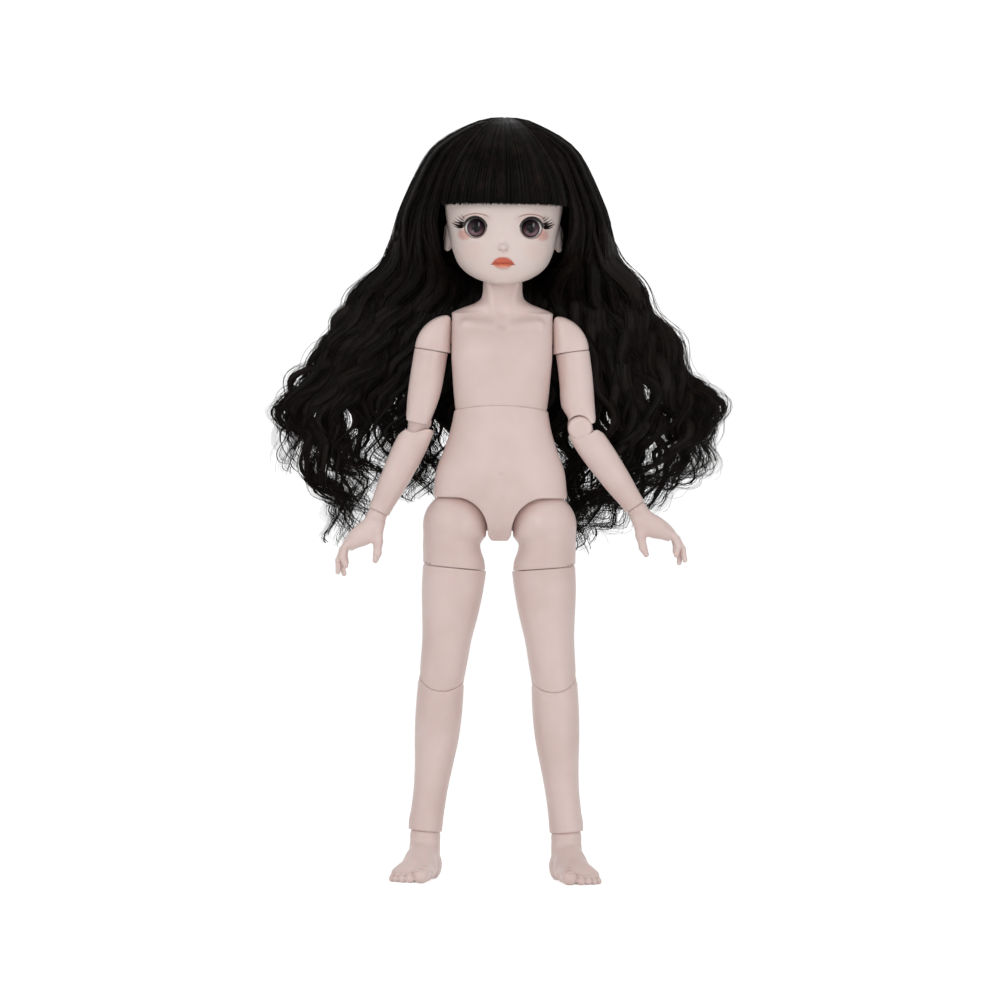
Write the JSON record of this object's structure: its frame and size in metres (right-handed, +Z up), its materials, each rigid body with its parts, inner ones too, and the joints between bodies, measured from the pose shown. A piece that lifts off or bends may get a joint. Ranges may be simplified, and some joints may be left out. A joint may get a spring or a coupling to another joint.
{
  "type": "ball jointed doll",
  "caption": "Ball jointed doll with a plain body, pinned limb joints, glossy eyes, a blunt fringe and long wavy dark hair, standing upright.",
  "frame": {"origin": "on the floor under the middle of the standing doll", "axes": "+Z up from the soles to the top of the hair, -Y the way the doll faces, +X towards its left hand"},
  "size_m": [0.176, 0.0684, 0.3],
  "materials": {
    "body_skin": "satin",
    "face_skin": "matte",
    "pegs": "satin",
    "pins": "brushed",
    "eyes": "polished",
    "lashes": "matte",
    "hair": "silky"
  },
  "bodies": {
    "pelvis": {"pelvis_front": "body_skin", "pelvis_back": "body_skin"},
    "waist_ball": {"waist_ball": "pegs"},
    "chest": {"chest_front": "body_skin", "chest_back": "body_skin", "neck_pin": "pins", "waist_pin": "pins"},
    "neck_cross": {"neck_cross": "pegs"},
    "head": {"face": "face_skin", "skull": "face_skin", "eye_left": "eyes", "eye_right": "eyes", "lashes_left": "lashes", "lashes_right": "lashes", "hair_cap": "hair", "hair_back": "hair", "hair_left": "hair", "hair_right": "hair"},
    "shoulder_peg_left": {"shoulder_peg_left": "pegs"},
    "shoulder_cap_left": {"shoulder_cap_left": "body_skin", "shoulder_pin_left": "pins"},
    "upper_arm_left": {"upper_arm_left": "body_skin", "upper_elbow_pin_left": "pins"},
    "elbow_link_left": {"elbow_link_left": "body_skin"},
    "forearm_left": {"forearm_left": "body_skin", "lower_elbow_pin_left": "pins"},
    "wrist_peg_left": {"wrist_peg_left": "pegs"},
    "hand_left": {"hand_left": "body_skin", "wrist_pin_left": "pins"},
    "hip_peg_left": {"hip_peg_left": "pegs"},
    "upper_thigh_left": {"upper_thigh_left": "body_skin", "hip_pin_left": "pins"},
    "lower_thigh_left": {"lower_thigh_left": "body_skin"},
    "shin_left": {"shin_left": "body_skin", "knee_pin_left": "pins"},
    "ankle_peg_left": {"ankle_peg_left": "pegs"},
    "foot_left": {"foot_left": "body_skin", "ankle_pin_left": "pins"},
    "shoulder_peg_right": {"shoulder_peg_right": "pegs"},
    "shoulder_cap_right": {"shoulder_cap_right": "body_skin", "shoulder_pin_right": "pins"},
    "upper_arm_right": {"upper_arm_right": "body_skin", "upper_elbow_pin_right": "pins"},
    "elbow_link_right": {"elbow_link_right": "body_skin"},
    "forearm_right": {"forearm_right": "body_skin", "lower_elbow_pin_right": "pins"},
    "wrist_peg_right": {"wrist_peg_right": "pegs"},
    "hand_right": {"hand_right": "body_skin", "wrist_pin_right": "pins"},
    "hip_peg_right": {"hip_peg_right": "pegs"},
    "upper_thigh_right": {"upper_thigh_right": "body_skin", "hip_pin_right": "pins"},
    "lower_thigh_right": {"lower_thigh_right": "body_skin"},
    "shin_right": {"shin_right": "body_skin", "knee_pin_right": "pins"},
    "ankle_peg_right": {"ankle_peg_right": "pegs"},
    "foot_right": {"foot_right": "body_skin", "ankle_pin_right": "pins"}
  },
  "joints": [
    {"name": "waist_twist", "type": "hinge", "parent": "pelvis", "child": "waist_ball", "pos_m": [0, 0, 0.18407], "axis": [0, 0, 1], "range_deg": [-35, 35]},
    {"name": "waist_bend", "type": "hinge", "parent": "waist_ball", "child": "chest", "pos_m": [0, 0, 0.18727], "axis": [1, 0, 0], "range_deg": [-8, 8]},
    {"name": "neck_nod", "type": "hinge", "parent": "chest", "child": "neck_cross", "pos_m": [0, 0, 0.23907], "axis": [1, 0, 0], "range_deg": [-6, 14]},
    {"name": "head_turn", "type": "hinge", "parent": "neck_cross", "child": "head", "pos_m": [0, 0, 0.23907], "axis": [0, 0, 1], "range_deg": [-70, 70], "deforming": ["hair_back", "hair_left", "hair_right"]},
    {"name": "shoulder_swing_left", "type": "hinge", "parent": "chest", "child": "shoulder_peg_left", "pos_m": [0.0198, 0, 0.21247], "axis": [-1, 0, 0], "range_deg": [-50, 150]},
    {"name": "shoulder_lift_left", "type": "hinge", "parent": "shoulder_peg_left", "child": "shoulder_cap_left", "pos_m": [0.02235, 0, 0.21907], "axis": [0, -1, 0], "range_deg": [0, 80]},
    {"name": "arm_twist_left", "type": "hinge", "parent": "shoulder_cap_left", "child": "upper_arm_left", "pos_m": [0.0277, 0, 0.20757], "axis": [-0.1495, 0, 0.9888], "range_deg": [-90, 90]},
    {"name": "elbow_upper_left", "type": "hinge", "parent": "upper_arm_left", "child": "elbow_link_left", "pos_m": [0.03193, 0, 0.17959], "axis": [0, -1, 0], "range_deg": [-13.5, 30.5]},
    {"name": "elbow_lower_left", "type": "hinge", "parent": "elbow_link_left", "child": "forearm_left", "pos_m": [0.03457, 0, 0.1731], "axis": [0, -1, 0], "range_deg": [-13.5, 30.5]},
    {"name": "wrist_turn_left", "type": "hinge", "parent": "forearm_left", "child": "wrist_peg_left", "pos_m": [0.05401, 0, 0.14594], "axis": [-0.5821, 0, 0.8131], "range_deg": [-90, 90]},
    {"name": "wrist_bend_left", "type": "hinge", "parent": "wrist_peg_left", "child": "hand_left", "pos_m": [0.05401, 0, 0.14594], "axis": [0.8131, 0, 0.5821], "range_deg": [-40, 40]},
    {"name": "hip_swing_left", "type": "hinge", "parent": "pelvis", "child": "hip_peg_left", "pos_m": [0.0174, 0, 0.13947], "axis": [-1, 0, 0], "range_deg": [-20, 60]},
    {"name": "hip_spread_left", "type": "hinge", "parent": "hip_peg_left", "child": "upper_thigh_left", "pos_m": [0.0174, 0, 0.13947], "axis": [0, -1, 0], "range_deg": [-4, 34]},
    {"name": "thigh_twist_left", "type": "hinge", "parent": "upper_thigh_left", "child": "lower_thigh_left", "pos_m": [0.0174, 0, 0.13947], "axis": [0.0837, 0, -0.9965], "range_deg": [-60, 15]},
    {"name": "knee_bend_left", "type": "hinge", "parent": "lower_thigh_left", "child": "shin_left", "pos_m": [0.02237, 0, 0.08028], "axis": [0.9965, 0, 0.0837], "range_deg": [0, 95]},
    {"name": "ankle_turn_left", "type": "hinge", "parent": "shin_left", "child": "ankle_peg_left", "pos_m": [0.02768, 0, 0.017], "axis": [-0.0837, 0, 0.9965], "range_deg": [-15, 30]},
    {"name": "ankle_bend_left", "type": "hinge", "parent": "ankle_peg_left", "child": "foot_left", "pos_m": [0.02768, 0, 0.017], "axis": [0.9579, 0.2756, 0.0804], "range_deg": [-20, 35]},
    {"name": "shoulder_swing_right", "type": "hinge", "parent": "chest", "child": "shoulder_peg_right", "pos_m": [-0.0198, 0, 0.21247], "axis": [-1, 0, 0], "range_deg": [-50, 150]},
    {"name": "shoulder_lift_right", "type": "hinge", "parent": "shoulder_peg_right", "child": "shoulder_cap_right", "pos_m": [-0.02235, 0, 0.21907], "axis": [0, 1, 0], "range_deg": [0, 80]},
    {"name": "arm_twist_right", "type": "hinge", "parent": "shoulder_cap_right", "child": "upper_arm_right", "pos_m": [-0.0277, 0, 0.20757], "axis": [-0.1495, 0, -0.9888], "range_deg": [-90, 90]},
    {"name": "elbow_upper_right", "type": "hinge", "parent": "upper_arm_right", "child": "elbow_link_right", "pos_m": [-0.03193, 0, 0.17959], "axis": [0, 1, 0], "range_deg": [-8.3, 35.7]},
    {"name": "elbow_lower_right", "type": "hinge", "parent": "elbow_link_right", "child": "forearm_right", "pos_m": [-0.03397, 0, 0.17289], "axis": [0, 1, 0], "range_deg": [-8.3, 35.7]},
    {"name": "wrist_turn_right", "type": "hinge", "parent": "forearm_right", "child": "wrist_peg_right", "pos_m": [-0.04819, 0, 0.14267], "axis": [-0.4258, 0, -0.9048], "range_deg": [-90, 90]},
    {"name": "wrist_bend_right", "type": "hinge", "parent": "wrist_peg_right", "child": "hand_right", "pos_m": [-0.04819, 0, 0.14267], "axis": [0.9048, 0, -0.4258], "range_deg": [-40, 40]},
    {"name": "hip_swing_right", "type": "hinge", "parent": "pelvis", "child": "hip_peg_right", "pos_m": [-0.0174, 0, 0.13947], "axis": [-1, 0, 0], "range_deg": [-20, 60]},
    {"name": "hip_spread_right", "type": "hinge", "parent": "hip_peg_right", "child": "upper_thigh_right", "pos_m": [-0.0174, 0, 0.13947], "axis": [0, 1, 0], "range_deg": [-4, 34]},
    {"name": "thigh_twist_right", "type": "hinge", "parent": "upper_thigh_right", "child": "lower_thigh_right", "pos_m": [-0.0174, 0, 0.13947], "axis": [0.0837, 0, 0.9965], "range_deg": [-60, 15]},
    {"name": "knee_bend_right", "type": "hinge", "parent": "lower_thigh_right", "child": "shin_right", "pos_m": [-0.02237, 0, 0.08028], "axis": [0.9965, 0, -0.0837], "range_deg": [0, 95]},
    {"name": "ankle_turn_right", "type": "hinge", "parent": "shin_right", "child": "ankle_peg_right", "pos_m": [-0.02768, 0, 0.017], "axis": [-0.0837, 0, -0.9965], "range_deg": [-15, 30]},
    {"name": "ankle_bend_right", "type": "hinge", "parent": "ankle_peg_right", "child": "foot_right", "pos_m": [-0.02768, 0, 0.017], "axis": [0.9579, -0.2756, -0.0804], "range_deg": [-20, 35]}
  ]
}
